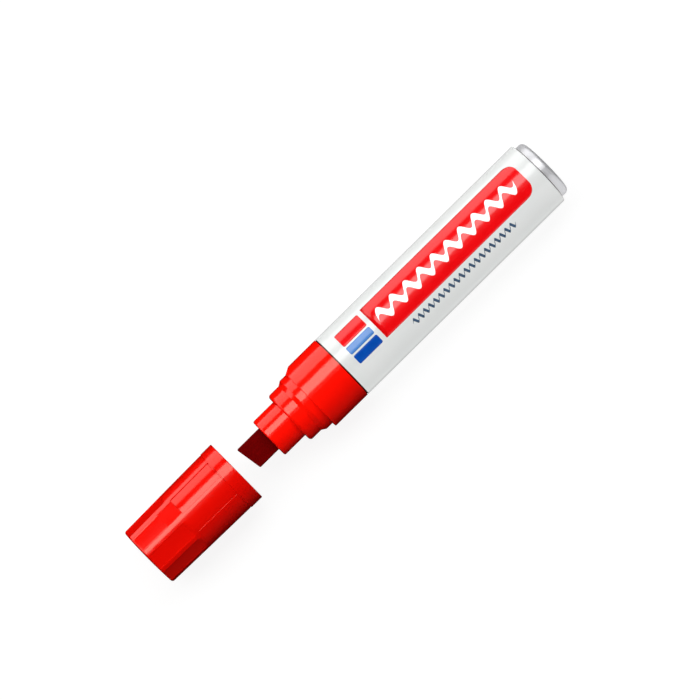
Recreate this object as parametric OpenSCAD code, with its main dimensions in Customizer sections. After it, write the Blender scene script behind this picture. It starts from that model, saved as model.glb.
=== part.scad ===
// Jumbo felt tip marker lying on its side, with its cap drawn off along the axis.
// Frame: millimetres, +X from the tail to the cap along the marker's axis, +Z up.
// The floor is z = 0, under the barrel, and the origin is midway along the whole object.

/* [Barrel] */

// outside diameter of the lacquered barrel
barrel_d = 23.5; // [18:0.1:30]
// length of the lacquered tube, without its bare foot
barrel_len = 85.6; // [60:0.1:120]
// wall of the aluminium tube
barrel_wall = 0.45; // [0.3:0.05:1]
// outside diameter of the bare metal foot, which the cap can be posted on
foot_d = 20.8; // [20.7:0.1:22.6]
// length of the bare metal foot
foot_len = 3.2; // [2.4:0.1:8]
// radius round the foot's outer edge
foot_round = 1.5; // [0.5:0.1:2.2]
// radius of the hollow pressed into the foot
foot_hollow_r = 7.4; // [4:0.1:9]
// depth of the hollow pressed into the foot
foot_hollow_depth = 1; // [0.4:0.1:1.6]
// thickness of the barrel's floor
floor_t = 0.9; // [0.5:0.1:1.5]

/* [Neck] */

// length of the full-width shoulder in front of the barrel
shoulder_len = 14.2; // [8:0.1:20]
// outside diameter of the ring that grips the cap
grip_d = 20.8; // [20.3:0.1:21.6]
// diameter at the front of the gripping ring's lead-in
grip_front_d = 20.4; // [19.2:0.1:20.7]
// length of the gripping ring with its bevel
grip_len = 4.05; // [3.8:0.05:8]
// length of the short bevel in front of the ring
bevel_len = 1.15; // [0.5:0.05:1.4]
// length of the ring's full-diameter part
grip_land = 2.6; // [0.3:0.1:2.8]
// diameter of the collar in front of the ring
collar_d = 18.94; // [15:0.02:22]
// length of the collar
collar_len = 4.65; // [2:0.05:7]
// radius round the collar's front edge
collar_round = 1; // [0.3:0.1:1.5]
// diameter of the nose that holds the nib
nose_d = 14.3; // [11:0.1:18]
// length of the nose
nose_len = 8.85; // [5:0.05:14]
// radius round the nose's front edge
nose_round = 0.6; // [0.1:0.05:1]
// axial length of the cut corner on the shoulder
corner_cut_len = 2.4; // [0:0.1:4]
// length of the plug that is pressed into the barrel
plug_len = 10; // [6:0.5:16]
// bore of the plug, round the reservoir
plug_bore_d = 20; // [16:0.1:21]
// bore behind the nose
chamber_d = 16.8; // [12:0.1:18]

/* [Nib] */

// width of the nib across its broad face
nib_w = 9; // [5:0.1:12]
// thickness of the nib
nib_t = 4.4; // [2:0.1:6]
// how far the nib's long side stands out of the nose
nib_out = 9.55; // [5:0.05:14]
// angle of the nib's slanted end, in degrees
nib_slant = 9.1; // [0:0.1:30]
// radius at the nib's corners and edges
nib_round = 0.45; // [0.2:0.05:1]
// length of the nib's tail inside the reservoir
nib_tail = 6; // [3:0.5:12]

/* [Reservoir] */

// diameter of the fibre reservoir
core_d = 19.4; // [15:0.1:20]
// thickness of the film round the reservoir
film_t = 0.15; // [0.05:0.01:0.4]

/* [Cap] */

// length of the cap
cap_len = 38.55; // [28:0.05:50]
// distance from the nib's tip to the cap's mouth at rest
cap_gap = 4.5; // [0:0.1:20]
// outside diameter of the band round the cap's mouth
band_d = 22.75; // [20:0.05:26]
// length of the band round the mouth
band_len = 4.6; // [2:0.1:8]
// outside diameter of the cap just behind the band
cap_d = 22.44; // [18:0.02:26]
// outside diameter where the flutes begin
cap_mid_d = 21.98; // [18:0.02:26]
// outside diameter at the closed end
cap_end_d = 21.36; // [18:0.02:26]
// radius round the cap's closed end
cap_round = 0.8; // [0.3:0.1:2]
// clearance between the cap's mouth and the gripping ring, on the radius
cap_clear = 0.07; // [0.02:0.01:0.1]
// radius of the bore round the neck's collar
cap_bore_r = 9.75; // [9:0.05:10.5]
// radius of the deep bore round the seal
cap_deep_r = 8.95; // [8:0.05:9.5]
// thickness of the cap's closed end
cap_end_t = 1.65; // [1:0.05:3]
// number of flutes on each side of the closed half
flute_count = 4; // [1:1:4]
// angle from one flute to the next, in degrees
flute_pitch = 40; // [30:0.5:44]
// angle of the middle of the upper group of flutes, from straight up towards +Y, in degrees
flutes_angle = -9.5; // [-20:0.5:20]
// depth of a flute at its middle
flute_depth = 0.46; // [0.3:0.01:0.8]
// radius of a flute's hollow across the cap
flute_r = 30; // [14:1:60]
// length of the flutes at full depth, from the closed end
flute_len = 15; // [8:0.1:20]
// length over which the flutes run out
flute_fade = 2.2; // [1:0.1:8]
// angle of the sunk panel's middle, from straight up towards +Y, in degrees
panel_angle = -27.5; // [-33:0.5:-26]
// width of the sunk panel and its ramp
panel_w = 5.7; // [3:0.1:7]
// depth of the sunk panel
panel_sunk = 0.14; // [0.05:0.01:0.3]
// where the ramp begins, from the closed end
ramp_from_end = 11.35; // [8:0.05:14]
// length of the ramp
ramp_len = 6.2; // [3:0.1:9]

/* [Seal] */

// clearance between the seal and the nose, on the radius
seal_clear = 0.08; // [0.02:0.01:0.2]
// wall of the seal cup
seal_wall = 0.85; // [0.5:0.05:1.5]
// distance from the cap's mouth to the seal's rim
seal_start = 10.7; // [9.5:0.1:15]
// thickness of the seal's flange
seal_flange_t = 1.2; // [0.8:0.1:2]
// depth of the seal cup, from its rim to its outer end
seal_len = 20; // [12:0.5:24]

/* [Hidden] */

$fn = 96;
e = 0.01;
barrel_r = barrel_d / 2;
bore_r = barrel_r - barrel_wall;
mouth_s = foot_len + barrel_len;
face_s = mouth_s + shoulder_len;
grip_s = face_s + grip_len;
collar_s = grip_s + collar_len;
nose_s = collar_s + nose_len;
tip_s = nose_s + nib_out;
cap_s = tip_s + cap_gap;
total = cap_s + cap_len;
core_back = foot_hollow_depth + floor_t + 0.5;
core_front = face_s - 4;
nib_back = core_front - nib_tail;
chamber_s = nose_s - 10.75;
first_flute = flutes_angle - flute_pitch * (flute_count - 1) / 2;

// Lays the marker's own axis, drawn upwards, along +X at the height of the barrel's radius.
module lay()
{
    translate([-total / 2, 0, barrel_r])
        rotate([0, 90, 0])
            rotate([0, 0, 180])
                children();
}

// Turns what is drawn on the +x side of the upright axis to an angle from straight up towards +Y.
module turned(angle)
{
    rotate([0, 0, -angle])
        children();
}

// The sliver of a corner at (x, z) outside a radius r; sx and sz are the sides the corner is on.
module corner_sliver(x, z, r, sx, sz)
{
    difference()
    {
        translate([x - (sx > 0 ? r : e), z - (sz > 0 ? r : e)])
            square([r + e, r + e]);
        translate([x - sx * r, z - sz * r])
            circle(r = r);
    }
}

// A rectangle with rounded corners, centred on the origin.
module rounded_rect(w, h, r)
{
    square([w - 2 * r, h], center = true);
    square([w, h - 2 * r], center = true);
    for (x = [-1, 1])
        for (y = [-1, 1])
            translate([x * (w / 2 - r), y * (h / 2 - r)])
                circle(r = r);
}

module barrel_profile()
{
    difference()
    {
        union()
        {
            square([foot_d / 2, foot_len + e]);
            translate([0, foot_len])
                square([barrel_r, barrel_len]);
        }
        corner_sliver(foot_d / 2, 0, foot_round, 1, -1);
        corner_sliver(barrel_r, foot_len, 0.35, 1, -1);
        corner_sliver(barrel_r, mouth_s, 0.2, 1, 1);
        translate([0, foot_len + 1])
            square([bore_r, barrel_len]);
        translate([0, foot_hollow_depth + floor_t])
            square([foot_d / 2 - barrel_wall, foot_len]);
        polygon([
            [0, -e],
            [foot_hollow_r + 0.3, -e],
            [foot_hollow_r - 0.4, foot_hollow_depth],
            [0, foot_hollow_depth]
        ]);
    }
}

module barrel()
{
    color([0.93, 0.94, 0.93])
        lay()
            rotate_extrude()
                barrel_profile();
}

module neck_profile()
{
    difference()
    {
        polygon([
            [0, mouth_s - plug_len],
            [bore_r - 0.5, mouth_s - plug_len],
            [bore_r - 0.1, mouth_s - plug_len + 1],
            [bore_r - 0.1, mouth_s - 7],
            [bore_r - 0.02, mouth_s - 6.6],
            [bore_r - 0.02, mouth_s - 6],
            [bore_r - 0.1, mouth_s - 5.6],
            [bore_r - 0.1, mouth_s - 3.5],
            [bore_r - 0.02, mouth_s - 3.1],
            [bore_r - 0.02, mouth_s],
            [bore_r + 0.1, mouth_s],
            [bore_r + 0.1, mouth_s + 0.28],
            [barrel_r, mouth_s + 0.28],
            [barrel_r, face_s],
            [grip_d / 2, face_s],
            [grip_d / 2, face_s + grip_land],
            [grip_front_d / 2, grip_s - bevel_len],
            [collar_d / 2, grip_s],
            [collar_d / 2, collar_s],
            [nose_d / 2, collar_s],
            [nose_d / 2, nose_s],
            [0, nose_s]
        ]);
        corner_sliver(barrel_r, face_s, 0.3, 1, 1);
        corner_sliver(collar_d / 2, collar_s, collar_round, 1, 1);
        corner_sliver(nose_d / 2, nose_s, nose_round, 1, 1);
        translate([0, mouth_s - plug_len - e])
            square([plug_bore_d / 2, core_front - mouth_s + plug_len + 0.4]);
        translate([0, core_front])
            square([chamber_d / 2, chamber_s - core_front]);
    }
}

module neck()
{
    color([0.9, 0.05, 0.02])
        lay()
            difference()
            {
                rotate_extrude()
                    neck_profile();
                // slot for the nib, with an air groove on each broad side
                translate([0, 0, chamber_s - 1])
                    linear_extrude(height = nose_s - chamber_s + 2)
                    {
                        rounded_rect(nib_t + 0.1, nib_w + 0.1, 0.5);
                        for (side = [-1, 1])
                            translate([side * nib_t / 2, 0])
                                circle(r = 0.7);
                    }
                // cut corner of the shoulder, on the side away from +Y
                turned(-90)
                    rotate([90, 0, 0])
                        linear_extrude(height = barrel_d, center = true)
                            polygon([
                                [grip_d / 2 + 0.05, face_s],
                                [grip_d / 2 + 0.05, face_s + 1],
                                [barrel_r + 1, face_s + 1],
                                [barrel_r + 1, face_s - corner_cut_len * 1.8],
                                [barrel_r, face_s - corner_cut_len]
                            ]);
            }
}

// The nib's broad face: its long side is at +x, and both tip corners are rounded.
module nib_plan()
{
    half = nib_w / 2;
    r = nib_round;
    long_z = tip_s - r * tan(nib_slant) - r / cos(nib_slant);
    short_z = long_z - (nib_w - 2 * r) * tan(nib_slant);
    dx = r * sin(nib_slant);
    dz = r * cos(nib_slant);
    polygon([
        [half, nib_back],
        [half, long_z],
        [half - r - dx, long_z + dz],
        [-half + r - dx, short_z + dz],
        [-half, short_z],
        [-half, nib_back]
    ]);
    translate([half - r, long_z])
        circle(r = r);
    translate([-half + r, short_z])
        circle(r = r);
}

module nib()
{
    color([0.36, 0.01, 0.01])
        lay()
            intersection()
            {
                // broad face, seen from above
                rotate([90, 0, 90])
                    linear_extrude(height = nib_t + 2, center = true)
                        nib_plan();
                // rounded cross-section
                translate([0, 0, nib_back - 1])
                    linear_extrude(height = tip_s - nib_back + 3)
                        rounded_rect(nib_t, nib_w, nib_round);
            }
}

module reservoir()
{
    color([0.75, 0.12, 0.1])
        lay()
            difference()
            {
                translate([0, 0, core_back])
                    cylinder(d = core_d, h = core_front - core_back);
                translate([0, 0, nib_back - 0.1])
                    linear_extrude(height = nib_tail + 1)
                        rounded_rect(nib_t + 0.06, nib_w + 0.06, nib_round);
            }
}

module film()
{
    color([0.92, 0.92, 0.9, 0.6])
        lay()
            translate([0, 0, core_back])
                linear_extrude(height = core_front - core_back)
                    difference()
                    {
                        circle(d = core_d + 0.04 + 2 * film_t);
                        circle(d = core_d + 0.04);
                    }
}

// Outline of the cap's outside from the mouth at z = 0, shrunk by t for the panel's floor.
module cap_outline(t)
{
    polygon([
        [0, 0],
        [band_d / 2 - t, 0],
        [band_d / 2 - t, band_len],
        [cap_d / 2 - t, band_len + 0.12],
        [cap_mid_d / 2 - t, cap_len - flute_len - flute_fade],
        [cap_end_d / 2 - t, cap_len],
        [0, cap_len]
    ]);
}

module cap_blank()
{
    rotate_extrude()
        difference()
        {
            cap_outline(0);
            corner_sliver(band_d / 2, 0, 0.25, 1, -1);
            corner_sliver(cap_end_d / 2, cap_len, cap_round, 1, 1);
        }
}

// Cuts one flute. Its hollow leans with the cap's taper, so the flute keeps its width.
module flute_cutter()
{
    start = cap_len - flute_len;
    taper = (cap_mid_d - cap_end_d) / 2 / (flute_len + flute_fade);
    intersection()
    {
        translate([flute_r + cap_end_d / 2 - flute_depth, 0, 0])
            rotate_extrude()
                polygon([
                    [0, start - flute_fade],
                    [flute_r - flute_depth - taper * (flute_len + flute_fade) - 0.02, start - flute_fade],
                    [flute_r - taper * flute_len, start],
                    [flute_r + taper * 2, cap_len + 2],
                    [0, cap_len + 2]
                ]);
        translate([8, -3.6, start - flute_fade - 1])
            cube([4.5, 7.2, flute_len + flute_fade + 2]);
    }
}

// Flat ramp that closes the flute next to the panel.
module panel_ramp()
{
    from = cap_len - ramp_from_end;
    to = from - ramp_len;
    rotate([90, 0, 0])
        linear_extrude(height = panel_w, center = true)
            polygon([
                [9.2, to - 1],
                [10.5, to - 1],
                [10.5, to],
                [cap_end_d / 2 - flute_depth + 0.1, from],
                [9.2, from]
            ]);
}

module cap()
{
    color([0.88, 0.04, 0.02])
        lay()
            translate([0, 0, cap_s])
                difference()
                {
                    union()
                    {
                        difference()
                        {
                            cap_blank();
                            for (side = [0, 180])
                                for (i = [0 : flute_count - 1])
                                    turned(side + first_flute + i * flute_pitch)
                                        flute_cutter();
                        }
                        turned(panel_angle)
                            panel_ramp();
                    }
                    // sunk panel from the ramp to the band
                    difference()
                    {
                        turned(panel_angle)
                            translate([8, -panel_w / 2, band_len + 0.15])
                                cube([6, panel_w, cap_len - ramp_from_end - ramp_len - band_len - 0.15]);
                        rotate_extrude()
                            cap_outline(panel_sunk);
                    }
                    // inside
                    translate([0, 0, -e])
                        cylinder(r = grip_d / 2 + cap_clear, h = grip_len + 0.3);
                    cylinder(r = cap_bore_r, h = seal_start + seal_flange_t);
                    cylinder(r = cap_deep_r, h = cap_len - cap_end_t);
                }
}

module seal()
{
    cup_r = nose_d / 2 + seal_clear;
    color([0.86, 0.85, 0.82])
        lay()
            translate([0, 0, cap_s + seal_start])
                rotate_extrude()
                    difference()
                    {
                        union()
                        {
                            square([cap_bore_r - 0.02, seal_flange_t - 0.02]);
                            square([cup_r + seal_wall, seal_len]);
                        }
                        corner_sliver(cup_r + seal_wall, seal_len, 0.5, 1, 1);
                        translate([0, -e])
                            square([cup_r, seal_len - 1]);
                        polygon([
                            [0, -e],
                            [cup_r + 0.6, -e],
                            [cup_r, 0.7],
                            [0, 0.7]
                        ]);
                    }
}

barrel();
neck();
nib();
reservoir();
film();
cap();
seal();
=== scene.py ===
import math

import bmesh
import bpy
from mathutils import Matrix, Vector


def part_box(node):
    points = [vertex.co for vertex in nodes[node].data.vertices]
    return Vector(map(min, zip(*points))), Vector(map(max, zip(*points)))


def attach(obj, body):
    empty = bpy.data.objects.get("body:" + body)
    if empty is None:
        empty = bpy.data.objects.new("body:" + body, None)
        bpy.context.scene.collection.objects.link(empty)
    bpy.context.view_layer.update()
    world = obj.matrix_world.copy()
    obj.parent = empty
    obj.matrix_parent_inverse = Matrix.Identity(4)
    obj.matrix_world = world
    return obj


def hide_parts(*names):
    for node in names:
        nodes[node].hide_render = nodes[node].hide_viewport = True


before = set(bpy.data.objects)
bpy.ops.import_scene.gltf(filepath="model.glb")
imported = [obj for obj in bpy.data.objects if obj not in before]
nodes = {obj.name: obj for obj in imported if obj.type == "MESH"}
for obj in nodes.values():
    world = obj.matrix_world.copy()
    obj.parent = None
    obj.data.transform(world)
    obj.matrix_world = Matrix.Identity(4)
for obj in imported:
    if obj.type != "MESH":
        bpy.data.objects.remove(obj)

bpy.context.view_layer.update()

MM = 0.001

# ---------------------------------------------------------------- places, from the frame
barrel_lo, barrel_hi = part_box("barrel")
cap_lo, cap_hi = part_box("cap")
AXIS_Y = (barrel_lo.y + barrel_hi.y) / 2
AXIS_Z = (barrel_lo.z + barrel_hi.z) / 2
BARREL_R = (barrel_hi.z - barrel_lo.z) / 2
MOUTH_X = barrel_hi.x
TAIL_X = barrel_lo.x
FOOT_LEN = 3.2 * MM  # the bare metal foot, as in the barrel's CAD
LACQUER_X = TAIL_X + FOOT_LEN
LACQUER_LAP = 0.08 * MM  # the step's face behind the foot is looked for this far past its place
ROOT_SHADE_WIDE = 0.3 * MM  # painted shade: a dark line in the corner where the foot meets the step
ROOT_R = 10.8 * MM  # what lies further from the axis is lacquered
RIM_SHADE_WIDE = 0.16 * MM  # painted shade along the edge of the barrel's mouth, at the joint with the neck
JOINT_SHADE_WIDE = 0.36 * MM  # painted shade at the bottom of the joint between barrel and neck


def deg(a):
    return math.radians(a)


def spread(a, b, count):
    return [a + (b - a) * k / (count - 1) for k in range(count)]


# ---------------------------------------------------------------- node helpers
class Tree:
    """A material's node tree, with short calls for the nodes this scene uses."""

    def __init__(self, name):
        self.material = bpy.data.materials.new(name)
        self.material.use_nodes = True
        self.nodes = self.material.node_tree.nodes
        self.links = self.material.node_tree.links
        self.shader = self.nodes["Principled BSDF"]
        self.place = self.add("ShaderNodeTexCoord").outputs["Object"]

    def add(self, kind, **values):
        node = self.nodes.new(kind)
        for key, value in values.items():
            setattr(node, key, value)
        return node

    def link(self, a, b):
        self.links.new(a, b)

    def math(self, operation, a, b=0.0):
        node = self.add("ShaderNodeMath", operation=operation)
        for socket, value in zip(node.inputs, (a, b)):
            if isinstance(value, (int, float)):
                socket.default_value = value
            else:
                self.link(value, socket)
        return node.outputs[0]

    def along(self):
        """Distance along the marker's axis, from the origin."""
        node = self.add("ShaderNodeSeparateXYZ")
        self.link(self.place, node.inputs[0])
        return node.outputs["X"]

    def off_axis(self):
        """Distance from the marker's axis."""
        node = self.add("ShaderNodeSeparateXYZ")
        self.link(self.place, node.inputs[0])
        y = self.math("SUBTRACT", node.outputs["Y"], AXIS_Y)
        z = self.math("SUBTRACT", node.outputs["Z"], AXIS_Z)
        square = self.math("ADD", self.math("MULTIPLY", y, y), self.math("MULTIPLY", z, z))
        return self.math("SQRT", square)

    def scaled(self, scale):
        node = self.add("ShaderNodeMapping")
        node.inputs["Scale"].default_value = scale
        self.link(self.place, node.inputs["Vector"])
        return node.outputs[0]

    def noise(self, scale, detail=3.0, rough=0.55, stretch=(1, 1, 1)):
        node = self.add("ShaderNodeTexNoise")
        self.link(self.scaled(stretch), node.inputs["Vector"])
        node.inputs["Scale"].default_value = scale
        node.inputs["Detail"].default_value = detail
        node.inputs["Roughness"].default_value = rough
        return node.outputs["Fac"]

    def ramp(self, fac, stops):
        node = self.add("ShaderNodeValToRGB")
        band = node.color_ramp
        while len(band.elements) < len(stops):
            band.elements.new(0.5)
        for element, (at, colour) in zip(band.elements, stops):
            element.position = at
            element.color = (*colour, 1.0)
        self.link(fac, node.inputs["Fac"])
        return node.outputs["Color"]

    def span(self, fac, low, high):
        node = self.add("ShaderNodeMapRange")
        self.link(fac, node.inputs["Value"])
        node.inputs["To Min"].default_value = low
        node.inputs["To Max"].default_value = high
        return node.outputs["Result"]

    def mix(self, fac, a, b):
        node = self.add("ShaderNodeMix", data_type="RGBA")
        for socket, value in ((node.inputs["Factor"], fac), (node.inputs[6], a), (node.inputs[7], b)):
            if isinstance(value, tuple):
                socket.default_value = (*value, 1.0)
            elif isinstance(value, (int, float)):
                socket.default_value = value
            else:
                self.link(value, socket)
        return node.outputs[2]

    def bump(self, height, strength, distance, before=None):
        node = self.add("ShaderNodeBump")
        node.inputs["Strength"].default_value = strength
        node.inputs["Distance"].default_value = distance
        self.link(height, node.inputs["Height"])
        if before is not None:
            self.link(before, node.inputs["Normal"])
        return node.outputs["Normal"]

    def set(self, **values):
        """Sets the shader's sockets: numbers and colours go on the socket, the rest is linked."""
        for key, value in values.items():
            socket = self.shader.inputs[key.replace("_", " ")]
            if isinstance(value, tuple):
                socket.default_value = (*value, 1.0)
            elif isinstance(value, (int, float)):
                socket.default_value = value
            else:
                self.link(value, socket)
        return self.material


def gloss_moulding(name, low, high, rough=0.13, joint_shade_to=None):
    """Gloss moulded plastic: faint flow in the colour, a fine orange peel and a soft broad waviness.
    With joint_shade_to, what lies tailward of that x is painted dark, as painted shade at the bottom of a
    joint."""
    t = Tree(name)
    flow = t.noise(60, 4, 0.6, (0.5, 1, 1))
    peel = t.noise(1800, 2, 0.5)
    wave = t.noise(170, 1, 0.4)
    colour = t.ramp(flow, [(0.3, low), (0.7, high)])
    if joint_shade_to is not None:
        # painted shade: the bottom of the joint is darkened to 0.12 of the red
        colour = t.mix(t.math("LESS_THAN", t.along(), joint_shade_to), colour, tuple(c * 0.12 for c in low))
    normal = t.bump(peel, 0.05, 0.00002)
    normal = t.bump(wave, 0.10, 0.00005, normal)
    return t.set(
        Base_Color=colour,
        Roughness=t.span(t.noise(900, 3), rough - 0.03, rough + 0.04),
        IOR=1.6,
        Specular_Tint=(1.0, 0.93, 0.78),
        Normal=normal,
    )


def barrel_material():
    """White lacquer on aluminium, with the turned bare metal left on the foot, and painted shade at the
    foot's root and along the mouth's edge.
    """
    t = Tree("barrel_lacquer")
    along = t.along()
    foot = t.math("LESS_THAN", along, LACQUER_X + LACQUER_LAP)
    bare = t.math("MULTIPLY", foot, t.math("LESS_THAN", t.off_axis(), ROOT_R))
    # painted shade masks: the corner where the foot meets the step, and the mouth's edge at the joint
    root_shade = t.math("MULTIPLY", bare, t.math("GREATER_THAN", along, LACQUER_X - ROOT_SHADE_WIDE))
    rim_shade = t.math("GREATER_THAN", along, MOUTH_X - RIM_SHADE_WIDE)
    white = t.ramp(t.noise(45, 3), [(0.3, (0.78, 0.80, 0.79)), (0.7, (0.82, 0.83, 0.82))])
    turned = t.noise(30, 5, 0.7, (180, 1, 1))
    metal = t.ramp(turned, [(0.25, (0.66, 0.66, 0.68)), (0.75, (0.80, 0.80, 0.82))])
    peel = t.bump(t.noise(1500, 2), 0.05, 0.00002)
    lines = t.bump(turned, 0.25, 0.00003, peel)
    normal = t.add("ShaderNodeMix", data_type="VECTOR")
    t.link(bare, normal.inputs["Factor"])
    t.link(peel, normal.inputs[4])
    t.link(lines, normal.inputs[5])
    rough = t.add("ShaderNodeMix", data_type="FLOAT")
    t.link(bare, rough.inputs["Factor"])
    t.link(t.span(t.noise(700, 3), 0.13, 0.2), rough.inputs[2])
    t.link(t.span(turned, 0.34, 0.46), rough.inputs[3])
    return t.set(
        # painted shade: dark brown at the foot's root and along the mouth's edge
        Base_Color=t.mix(t.math("ADD", root_shade, rim_shade), t.mix(bare, white, metal), (0.12, 0.09, 0.09)),
        Metallic=t.math("MULTIPLY", bare, 0.5),
        Roughness=rough.outputs[0],
        IOR=1.6,
        Normal=normal.outputs[1],
    )


def felt_material(name, low, high, depth):
    """Pressed felt: fibres that run along the nib, with small pores between them."""
    t = Tree(name)
    fibre = t.noise(1400, 5, 0.65, (0.16, 1, 1))
    pore = t.add("ShaderNodeTexVoronoi")
    t.link(t.scaled((0.5, 1, 1)), pore.inputs["Vector"])
    pore.inputs["Scale"].default_value = 1900
    blotch = t.noise(260, 3)
    colour = t.mix(
        t.span(blotch, 0.25, 0.75),
        t.ramp(fibre, [(0.3, low), (0.7, high)]),
        tuple((a + b) / 2 for a, b in zip(low, high)),
    )
    normal = t.bump(fibre, 0.6, depth)
    normal = t.bump(pore.outputs["Distance"], 0.4, depth, normal)
    return t.set(
        Base_Color=colour,
        Roughness=t.span(fibre, 0.75, 0.95),
        Specular_IOR_Level=0.02,
        Normal=normal,
    )


def soft_liner_material():
    """Natural polyethylene: milky, dull and a little uneven."""
    t = Tree("seal_polyethylene")
    cloud = t.noise(160, 4)
    return t.set(
        Base_Color=t.ramp(cloud, [(0.3, (0.66, 0.65, 0.61)), (0.7, (0.74, 0.73, 0.69))]),
        Roughness=t.span(t.noise(800), 0.42, 0.55),
        Subsurface_Weight=0.3,
        Subsurface_Scale=0.0006,
        Normal=t.bump(t.noise(1400, 3), 0.15, 0.00003),
    )


def film_material():
    """Thin clear film with fine creases along its length."""
    t = Tree("film_clear")
    crease = t.noise(320, 4, 0.6, (0.12, 1, 1))
    return t.set(
        Base_Color=t.ramp(crease, [(0.3, (0.82, 0.83, 0.82)), (0.7, (0.92, 0.92, 0.91))]),
        Roughness=t.span(crease, 0.12, 0.3),
        Alpha=0.6,
        Normal=t.bump(crease, 0.3, 0.00005),
    )


def print_material(name, low, high, rough=0.15):
    """Screen-printed ink: near flat colour, with the mesh's faint grain."""
    t = Tree(name)
    grain = t.noise(2600, 2)
    return t.set(
        Base_Color=t.ramp(t.noise(240, 3), [(0.3, low), (0.7, high)]),
        Roughness=t.span(grain, rough - 0.04, rough + 0.05),
        IOR=1.6,
        Normal=t.bump(grain, 0.08, 0.00002),
    )


def paint(node, material):
    """Gives a CAD node its material."""
    mesh = nodes[node].data
    mesh.materials.clear()
    mesh.materials.append(material)


paint("barrel", barrel_material())
neck_red = (0.78, 0.0034, 0.0008), (0.86, 0.0046, 0.0010)
paint("neck", gloss_moulding("neck_gloss", *neck_red, joint_shade_to=MOUTH_X + JOINT_SHADE_WIDE))
paint("nib", felt_material("nib_felt", (0.070, 0.0001, 0.0002), (0.112, 0.0003, 0.0004), 0.00012))
paint("reservoir", felt_material("reservoir_fibre", (0.34, 0.02, 0.015), (0.52, 0.05, 0.04), 0.0002))
paint("film", film_material())
paint("seal", soft_liner_material())

# ---------------------------------------------------------------- moulded cap
# Angles are from straight up towards +Y, and w is the distance from the cap's mouth.
BAND_R = (cap_hi.z - cap_lo.z) / 2
CAP_LEN = cap_hi.x - cap_lo.x
BAND_LEN = 4.6 * MM
BODY_R = 11.22 * MM  # just behind the band
MID_R = 10.99 * MM  # where the flutes begin
END_R = 10.68 * MM  # at the closed end
END_ROUND = 0.8 * MM
END_DOME = 0.28 * MM  # height of the closed end's dome
DOME_R = 9.9 * MM
RIM_ROUND = 0.25 * MM
END_CORNER = CAP_LEN - END_DOME - END_ROUND

FLUTE_ANGLES = [deg(side + middle) for side in (0, 180) for middle in (-68.5, -28.5, 14.5, 53)]
FLUTE_HALF = deg(14.6)
FLUTE_DEPTH = 0.50 * MM
FLUTE_FLOOR_R = 110.0 * MM  # radius of the floor across the flute
FLUTE_WALL = 0.60  # slope of a flute's sides
FLUTE_FULL = CAP_LEN - 15.0 * MM
FLUTE_START = CAP_LEN - 17.2 * MM
CREST_BLEND = 0.07 * MM

PANEL_ANGLE = deg(-28.2)
PANEL_HALF = deg(16.8)
PANEL_SUNK = 0.12 * MM
PANEL_END = CAP_LEN - 17.55 * MM
GROOVE_DEEP, GROOVE_HALF = 0.24 * MM, deg(1.0)
BAND_GROOVE_DEEP, BAND_GROOVE_WIDE = 0.22 * MM, 0.40 * MM
BAND_GROOVE_FAINT = 0.3  # share of its depth that the groove has outside the panel
LEDGE_FROM, LEDGE_TO = deg(27.8), deg(67)
LEDGE_PROUD = 0.07 * MM
RAMP_TO = CAP_LEN - 11.35 * MM
RAMP_HALF = deg(14.7)
RAMP_HEIGHT = (10.50 * MM, 10.36 * MM)  # distance of its flat from the axis, at the panel and at its end
RAMP_STEP = 0.07 * MM

# the bores, as in the cap's CAD
END_WALL = 1.65 * MM
SEAL_BORE_R = 8.95 * MM
SEAL_BORE_W = 11.9 * MM
COLLAR_BORE_R = 9.75 * MM
RING_BORE_R = 10.47 * MM
RING_BORE_LEN = 4.35 * MM
FLOOR_BEVEL = 0.45 * MM
STEP_BEVEL = 0.05 * MM
LIP_BEVEL = (0.25 * MM, 0.20 * MM)  # along the axis and outwards

# the shell's grid
TURN_POINTS = 480
CORNER_RINGS = 7
DOME_RINGS = 8
RING_STEP = 0.10 * MM  # distance between the two rings at a step in the length
TURN_STEP = deg(0.55)  # angle between the two points at a step round the cap
SHARP_EDGE = deg(24)


def smooth_step(x, low, high):
    f = min(1.0, max(0.0, (x - low) / (high - low)))
    return f * f * (3 - 2 * f)


def smooth_min(a, b, k):
    """The smaller of a and b, with the corner where they cross rounded over about k."""
    h = max(0.0, 1.0 - abs(a - b) / (4 * k))
    return min(a, b) - h * h * k


def around(angle, middle):
    """angle as an offset from middle, the short way round."""
    return (angle - middle + math.pi) % (2 * math.pi) - math.pi


def cap_plain_radius(w):
    """Radius of the cap without flutes or panels, w from its mouth."""
    if w < BAND_LEN:
        rim_shade = max(0.0, RIM_ROUND - w)
        return BAND_R - RIM_ROUND + math.sqrt(RIM_ROUND ** 2 - rim_shade ** 2)
    if w < FLUTE_START:
        f = (w - BAND_LEN) / (FLUTE_START - BAND_LEN)
        return BODY_R + (MID_R - BODY_R) * f
    f = (w - FLUTE_START) / (CAP_LEN - FLUTE_START)
    return MID_R + (END_R - MID_R) * f


def flute_radius(plain, away):
    """Radius of a flute's hollow at an angle away from its middle: a nearly flat floor, sloping walls."""
    floor = (plain - FLUTE_DEPTH + (plain * math.sin(away)) ** 2 / (2 * FLUTE_FLOOR_R)) / math.cos(away)
    corner = plain * (math.cos(FLUTE_HALF) - FLUTE_WALL * math.sin(FLUTE_HALF))
    wall = corner / (math.cos(away) - FLUTE_WALL * math.sin(abs(away)))
    return max(floor, wall)


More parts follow.
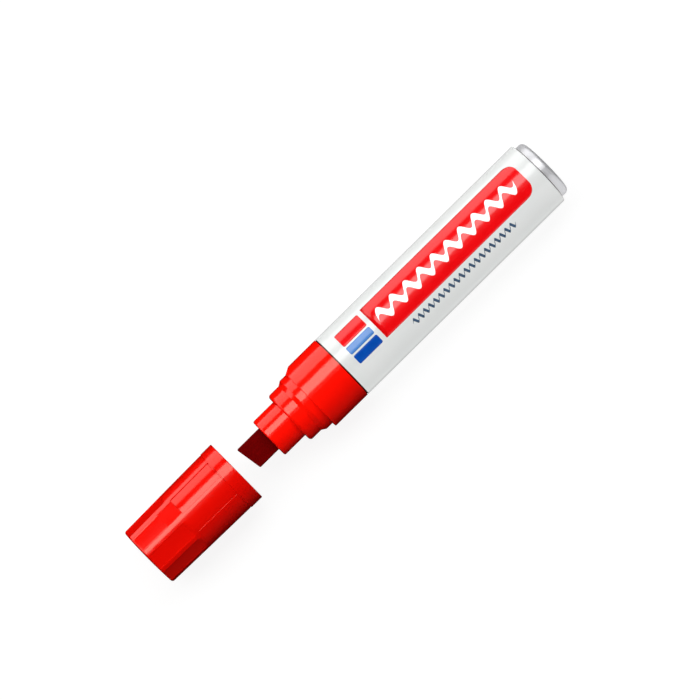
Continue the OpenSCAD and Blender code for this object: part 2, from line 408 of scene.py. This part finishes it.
def cap_radius(w, angle):
    """Radius of the cap's outside at w from its mouth: taper, flutes, sunk panel, ledge and flat ramp."""
    plain = cap_plain_radius(w)
    radius = plain
    if w > FLUTE_START:
        away = min((around(angle, middle) for middle in FLUTE_ANGLES), key=abs)
        if abs(away) < 2 * FLUTE_HALF:
            fade = 1 - smooth_step(w, FLUTE_START, FLUTE_FULL)
            hollow = flute_radius(plain, away) + fade * (FLUTE_DEPTH + CREST_BLEND * 4)
            radius = smooth_min(plain, hollow, CREST_BLEND)
    off = around(angle, PANEL_ANGLE)
    if PANEL_END < w < RAMP_TO and abs(off) < RAMP_HALF:
        f = (w - PANEL_END) / (RAMP_TO - PANEL_END)
        flat = RAMP_HEIGHT[0] + (RAMP_HEIGHT[1] - RAMP_HEIGHT[0]) * f
        radius = min(plain - RAMP_STEP, flat / math.cos(off))
    if BAND_LEN < w <= PANEL_END:
        if abs(off) < PANEL_HALF:
            radius -= PANEL_SUNK
        radius -= GROOVE_DEEP * max(0.0, 1 - abs(off + PANEL_HALF) / GROOVE_HALF)
        if w < BAND_LEN + BAND_GROOVE_WIDE:
            radius -= BAND_GROOVE_DEEP * (1.0 if abs(off) < PANEL_HALF else BAND_GROOVE_FAINT)
    side = around(angle, (LEDGE_FROM + LEDGE_TO) / 2)
    if BAND_LEN + BAND_GROOVE_WIDE < w < FLUTE_START and abs(side) < (LEDGE_TO - LEDGE_FROM) / 2:
        radius = plain + LEDGE_PROUD
    left = max(0.0, w - END_CORNER)
    return radius - END_ROUND + math.sqrt(max(0.0, END_ROUND ** 2 - left ** 2))


def step_stations(stations, edges, width):
    """The stations with a close pair put across each edge, so that a step there stays sharp."""
    kept = [s for s in stations if all(abs(s - e) > width for e in edges)]
    return sorted(kept + [e - width / 2 for e in edges] + [e + width / 2 for e in edges])


def cap_stations():
    """Distances from the mouth at which the cap's outside has a ring."""
    lengths = [RIM_ROUND * (1 - math.cos(math.pi / 2 * k / 4)) for k in range(4)]
    lengths += spread(RIM_ROUND, BAND_LEN - 0.2 * MM, 6)
    lengths += spread(BAND_LEN + 0.6 * MM, FLUTE_START - 0.2 * MM, 20)
    lengths += spread(FLUTE_START, FLUTE_FULL, 14)
    lengths += spread(FLUTE_FULL + 0.5 * MM, END_CORNER, 22)
    turns = [math.pi / 2 * (k + 1) / CORNER_RINGS for k in range(CORNER_RINGS)]
    lengths += [END_CORNER + END_ROUND * math.sin(t) for t in turns]
    edges = [BAND_LEN, BAND_LEN + BAND_GROOVE_WIDE, PANEL_END, RAMP_TO]
    return step_stations(lengths, edges, RING_STEP)


def cap_angles():
    """Angles of the points of every ring, closer together at the edges and across the panel's groove."""
    angles = [2 * math.pi * k / TURN_POINTS - math.pi for k in range(TURN_POINTS)]
    edges = [PANEL_ANGLE + side * RAMP_HALF for side in (-1, 1)]
    edges += [PANEL_ANGLE + PANEL_HALF, LEDGE_FROM, LEDGE_TO]
    angles = step_stations(angles, edges, TURN_STEP)
    groove = PANEL_ANGLE - PANEL_HALF
    angles = [a for a in angles if abs(a - groove) > GROOVE_HALF * 1.2]
    return sorted(angles + [groove + GROOVE_HALF * f for f in (-1.0, -0.5, -0.02, 0.02, 0.5, 1.0)])


def cap_shell():
    """The cap as one closed mesh: its outside, its domed end and its bores."""
    angles = cap_angles()
    mesh = bpy.data.meshes.new("cap_shell")
    bm = bmesh.new()

    def ring(w, radius_at):
        out = []
        for a in angles:
            r = radius_at(a)
            out.append(bm.verts.new((cap_lo.x + w, AXIS_Y + r * math.sin(a), AXIS_Z + r * math.cos(a))))
        return out

    def bridge(one, two):
        n = len(one)
        for k in range(n):
            bm.faces.new((one[k], two[k], two[(k + 1) % n], one[(k + 1) % n]))

    rings = [ring(w, lambda a, w=w: cap_radius(w, a)) for w in cap_stations()]
    for r in spread(0.92 * DOME_R, 0.1 * DOME_R, DOME_RINGS):
        rings.append(ring(CAP_LEN - END_DOME * (r / DOME_R) ** 2, lambda a, r=r: r))
    # back along the inside: end wall, bore round the seal, bore round the collar, recess for the ring, lip.
    # Each bore also has a ring partway along it, which keeps its faces short.
    wall_w = CAP_LEN - END_WALL
    inside = [
        (wall_w, 1.0 * MM),
        (wall_w, SEAL_BORE_R - FLOOR_BEVEL),
        (wall_w - FLOOR_BEVEL, SEAL_BORE_R),
        (24.0 * MM, SEAL_BORE_R),
        (SEAL_BORE_W + STEP_BEVEL, SEAL_BORE_R),
        (SEAL_BORE_W, SEAL_BORE_R + STEP_BEVEL),
        (SEAL_BORE_W, COLLAR_BORE_R),
        (8.0 * MM, COLLAR_BORE_R),
        (RING_BORE_LEN, COLLAR_BORE_R),
        (RING_BORE_LEN, RING_BORE_R),
        (2.4 * MM, RING_BORE_R),
        (LIP_BEVEL[0], RING_BORE_R),
        (0.0, RING_BORE_R + LIP_BEVEL[1]),
    ]
    pole_out = bm.verts.new((cap_lo.x + CAP_LEN, AXIS_Y, AXIS_Z))
    pole_in = bm.verts.new((cap_lo.x + wall_w, AXIS_Y, AXIS_Z))
    inner = [ring(w, lambda a, r=r: r) for w, r in inside]
    for one, two in zip(rings, rings[1:]):
        bridge(one, two)
    for one, two in zip(inner, inner[1:]):
        bridge(one, two)
    bridge(inner[-1], rings[0])
    n = len(angles)
    for k in range(n):
        bm.faces.new((rings[-1][k], pole_out, rings[-1][(k + 1) % n]))
        bm.faces.new((pole_in, inner[0][k], inner[0][(k + 1) % n]))
    bmesh.ops.recalc_face_normals(bm, faces=bm.faces)
    bm.to_mesh(mesh)
    bm.free()
    return smooth_by_angle(mesh, SHARP_EDGE)


def smooth_by_angle(mesh, limit):
    """Smooth shading with sharp edges where two faces meet at more than limit."""
    bm = bmesh.new()
    bm.from_mesh(mesh)
    for edge in bm.edges:
        edge.smooth = len(edge.link_faces) == 2 and edge.calc_face_angle(0.0) < limit
    for face in bm.faces:
        face.smooth = True
    bm.to_mesh(mesh)
    bm.free()
    return mesh


cap_material = gloss_moulding("cap_gloss", (0.57, 0.0022, 0.0006), (0.64, 0.0031, 0.0008))
paint("cap", cap_material)
shell = bpy.data.objects.new("cap_shell", cap_shell())
bpy.context.scene.collection.objects.link(shell)
shell.data.materials.append(cap_material)
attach(shell, "cap")
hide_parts("cap")

# ---------------------------------------------------------------- print on the barrel
PRINT_PROUD = 0.02 * MM  # how far the ink stands out of the lacquer
PRINT_OVER = 0.01 * MM  # how much further ink printed on other ink does
PRINT_DEEP = 0.06 * MM  # how far a sheet reaches into the barrel's wall
prints = []


def wrapped_patch(name, rows, material, lift=0.0):
    """A thin closed sheet on the barrel. rows is a grid of (x, angle): x along the axis in metres,
    and the angle from straight up towards +Y in radians. Every row has the same number of points."""
    mesh = bpy.data.meshes.new(name)
    bm = bmesh.new()

    def ring(radius):
        return [
            [bm.verts.new((x, AXIS_Y + radius * math.sin(a), AXIS_Z + radius * math.cos(a))) for x, a in row]
            for row in rows
        ]

    top = ring(BARREL_R + PRINT_PROUD + lift)
    under = ring(BARREL_R - PRINT_DEEP)
    n, m = len(rows), len(rows[0])
    for i in range(n - 1):
        for j in range(m - 1):
            bm.faces.new((top[i][j], top[i + 1][j], top[i + 1][j + 1], top[i][j + 1]))
            bm.faces.new((under[i][j], under[i][j + 1], under[i + 1][j + 1], under[i + 1][j]))
    edge = [(0, j) for j in range(m)]
    edge += [(i, m - 1) for i in range(1, n)]
    edge += [(n - 1, j) for j in range(m - 2, -1, -1)]
    edge += [(i, 0) for i in range(n - 2, 0, -1)]
    for (i, j), (k, l) in zip(edge, edge[1:] + edge[:1]):
        bm.faces.new((top[i][j], top[k][l], under[k][l], under[i][j]))
    bmesh.ops.recalc_face_normals(bm, faces=bm.faces)
    bm.to_mesh(mesh)
    bm.free()
    for face in mesh.polygons:
        face.use_smooth = abs(face.normal.x) < 0.5
    piece = bpy.data.objects.new(name, mesh)
    bpy.context.scene.collection.objects.link(piece)
    mesh.materials.append(material)
    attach(piece, "barrel")
    prints.append(piece)


def rounded_band(x0, x1, a0, a1, r0, r1, across, round_steps=8):
    """Rows of a band from x0 to x1 and from angle a0 to a1, its corners rounded by r0 at x0 and r1 at x1."""
    stations = []
    for k in range(round_steps if r0 > 0 else 0):
        t = math.pi / 2 * k / round_steps
        stations.append((x0 + r0 * (1 - math.cos(t)), r0 * (1 - math.sin(t))))
    stations += [(x, 0.0) for x in spread(x0 + r0, x1 - r1, 24)]
    for k in range(round_steps if r1 > 0 else 0):
        t = math.pi / 2 * (1 - (k + 1) / round_steps)
        stations.append((x1 - r1 * (1 - math.cos(t)), r1 * (1 - math.sin(t))))
    return [
        [(x, a) for a in spread(a0 + inset / BARREL_R, a1 - inset / BARREL_R, across)]
        for x, inset in stations
    ]


def chisel_wave(x0, x1, middle, height, waves, nib, lean, across=5, per_wave=28):
    """Rows of a wavy line drawn with a slanted broad nib: the nib's edge is nib long and leans by lean.
    middle and height are measured round the barrel."""
    rows = []
    dx = nib * math.cos(lean)
    dt = nib * math.sin(lean)
    for k in range(waves * per_wave + 1):
        f = k / (waves * per_wave)
        x = x0 + (x1 - x0 - dx) * f
        arc = middle + height / 2 * math.sin(2 * math.pi * waves * f)
        rows.append([(x + dx * s, (arc + dt * (s - 0.5)) / BARREL_R) for s in spread(0, 1, across)])
    return rows


PANEL_X0 = TAIL_X + 8.0 * MM
PANEL_X1 = TAIL_X + 72.9 * MM
PANEL_A0, PANEL_A1 = deg(-47.2), deg(16.9)
PANEL_CORNER = 3.6 * MM
BLOCK_X = TAIL_X + 74.5 * MM
BLOCK_LEN = 9.9 * MM
BLOCK_CORNER = 0.5 * MM
ink_red = print_material("ink_red", (0.52, 0.0015, 0.0025), (0.57, 0.0022, 0.004))
ink_white = print_material("ink_white", (0.80, 0.80, 0.80), (0.85, 0.85, 0.85), 0.3)
ink_blue = print_material("ink_blue", (0.001, 0.040, 0.24), (0.002, 0.055, 0.30))
ink_sky = print_material("ink_sky", (0.025, 0.12, 0.34), (0.035, 0.14, 0.38))
ink_navy = print_material("ink_navy", (0.003, 0.030, 0.075), (0.005, 0.040, 0.095))

wrapped_patch(
    "print_panel",
    rounded_band(PANEL_X0, PANEL_X1, PANEL_A0, PANEL_A1, PANEL_CORNER, 0.0, across=33),
    ink_red,
)
broad_stroke = chisel_wave(
    TAIL_X + 11.3 * MM,
    TAIL_X + 71.0 * MM,
    middle=deg(-14.3) * BARREL_R,
    height=3.3 * MM,
    waves=10,
    nib=2.5 * MM,
    lean=deg(75),
)
wrapped_patch("print_broad_stroke", broad_stroke, ink_white, PRINT_OVER)
fine_stroke = chisel_wave(
    TAIL_X + 19.5 * MM,
    TAIL_X + 64.1 * MM,
    middle=deg(30.4) * BARREL_R,
    height=1.9 * MM,
    waves=20,
    nib=1.0 * MM,
    lean=deg(56),
    across=4,
    per_wave=20,
)
wrapped_patch("print_fine_stroke", fine_stroke, ink_navy)
for name, a0, a1, ink in (
    ("print_block_red", -44.6, -18.5, ink_red),
    ("print_block_sky", -15.5, -2.0, ink_sky),
    ("print_block_blue", 1.0, 17.0, ink_blue),
):
    ends = BLOCK_X, BLOCK_X + BLOCK_LEN
    band = rounded_band(*ends, deg(a0), deg(a1), BLOCK_CORNER, BLOCK_CORNER, across=13, round_steps=5)
    wrapped_patch(name, band, ink)


# ---------------------------------------------------------------- floor, light and camera
def floor_material():
    """Pale matt paper with a faint glow, so that it stays near white round the marker."""
    t = Tree("floor_paper")
    return t.set(
        Base_Color=t.ramp(t.noise(6, 3), [(0.3, (0.16, 0.16, 0.16)), (0.7, (0.18, 0.18, 0.18))]),
        Roughness=0.9,
        Specular_IOR_Level=0.1,
        Emission_Color=(1.0, 1.0, 1.0),
        Emission_Strength=0.9,
    )


FLOOR_HALF = 4
floor_mesh = bpy.data.meshes.new("floor")
floor_corners = [(x * FLOOR_HALF, y * FLOOR_HALF, 0) for x, y in ((-1, -1), (1, -1), (1, 1), (-1, 1))]
floor_mesh.from_pydata(floor_corners, [], [(0, 1, 2, 3)])
floor = bpy.data.objects.new("floor", floor_mesh)
bpy.context.scene.collection.objects.link(floor)
floor_mesh.materials.append(floor_material())
floor.visible_glossy = False
floor.visible_diffuse = False
floor.visible_shadow = False

LOOK_AT = Vector((0.0, AXIS_Y, AXIS_Z))


def strip_light(name, length, width, bearing, distance, radiance, glossy=True, only=None):
    """A long soft box parallel to the marker. bearing is in degrees from straight up towards +Y.
    With only, it lights just those objects."""
    data = bpy.data.lights.new(name, "AREA")
    data.shape = "RECTANGLE"
    data.size = length
    data.size_y = width
    data.energy = radiance * math.pi * length * width
    lamp = bpy.data.objects.new(name, data)
    a = deg(bearing)
    lamp.location = LOOK_AT + Vector((0, math.sin(a), math.cos(a))) * distance
    lamp.rotation_euler = (-a, 0, 0)
    lamp.visible_camera = False
    lamp.visible_glossy = glossy
    if only:
        lit = bpy.data.collections.new(name + "_lit")
        for piece in only:
            lit.objects.link(piece)
        lamp.light_linking.receiver_collection = lit
    bpy.context.scene.collection.objects.link(lamp)


barrel_pieces = [nodes["barrel"]] + prints
other_pieces = [nodes[n] for n in ("neck", "nib", "reservoir", "film", "seal")] + [shell]
# name, length, width, bearing, distance, radiance, then whether it is seen in reflections and what it lights
strip_light("box_side", 2.0, 0.594, -83, 0.7, 1.6)
strip_light("box_top", 2.4, 0.62, -26.5, 1.2, 3.6)
strip_light("fill_plastic", 2.0, 0.5, -11, 1.2, 4.65, glossy=False, only=other_pieces + prints)
strip_light("fill_barrel", 2.0, 1.75, 88, 0.6, 0.98, only=barrel_pieces)
strip_light("fill_barrel_low", 2.0, 1.2, 180, 0.6, 0.4, only=barrel_pieces)
strip_light("fill_plastic_low", 2.0, 1.2, 122, 0.6, 0.34, glossy=False, only=other_pieces)

WORLD_GREY = 0.045
world = bpy.data.worlds.new("studio")
bpy.context.scene.world = world
world.use_nodes = True
world.cycles_visibility.glossy = False
world.node_tree.nodes["Background"].inputs["Color"].default_value = (WORLD_GREY, WORLD_GREY, WORLD_GREY, 1.0)

VIEW_WIDE = 217 * MM  # how much the view takes in, at the marker's axis
CAMERA_AWAY = 1550 * MM
SENSOR_MM = 36.0
VIEW_LEAN, VIEW_TURN = 1.72, 135.4  # degrees
AIM_X, AIM_Y = -3.24 * MM, -1.92 * MM
camera_data = bpy.data.cameras.new("camera")
camera_data.sensor_width = SENSOR_MM
camera_data.lens = SENSOR_MM * CAMERA_AWAY / VIEW_WIDE
camera = bpy.data.objects.new("camera", camera_data)
aim = Vector((AIM_X, AXIS_Y + AIM_Y, AXIS_Z))
turn = Matrix.Rotation(deg(VIEW_LEAN), 4, "Y") @ Matrix.Rotation(deg(VIEW_TURN), 4, "Z")
camera.matrix_world = Matrix.Translation(aim) @ turn @ Matrix.Translation((0, 0, CAMERA_AWAY))
bpy.context.scene.collection.objects.link(camera)
bpy.context.scene.camera = camera

bpy.context.scene.view_settings.view_transform = "Standard"

bpy.context.view_layer.update()
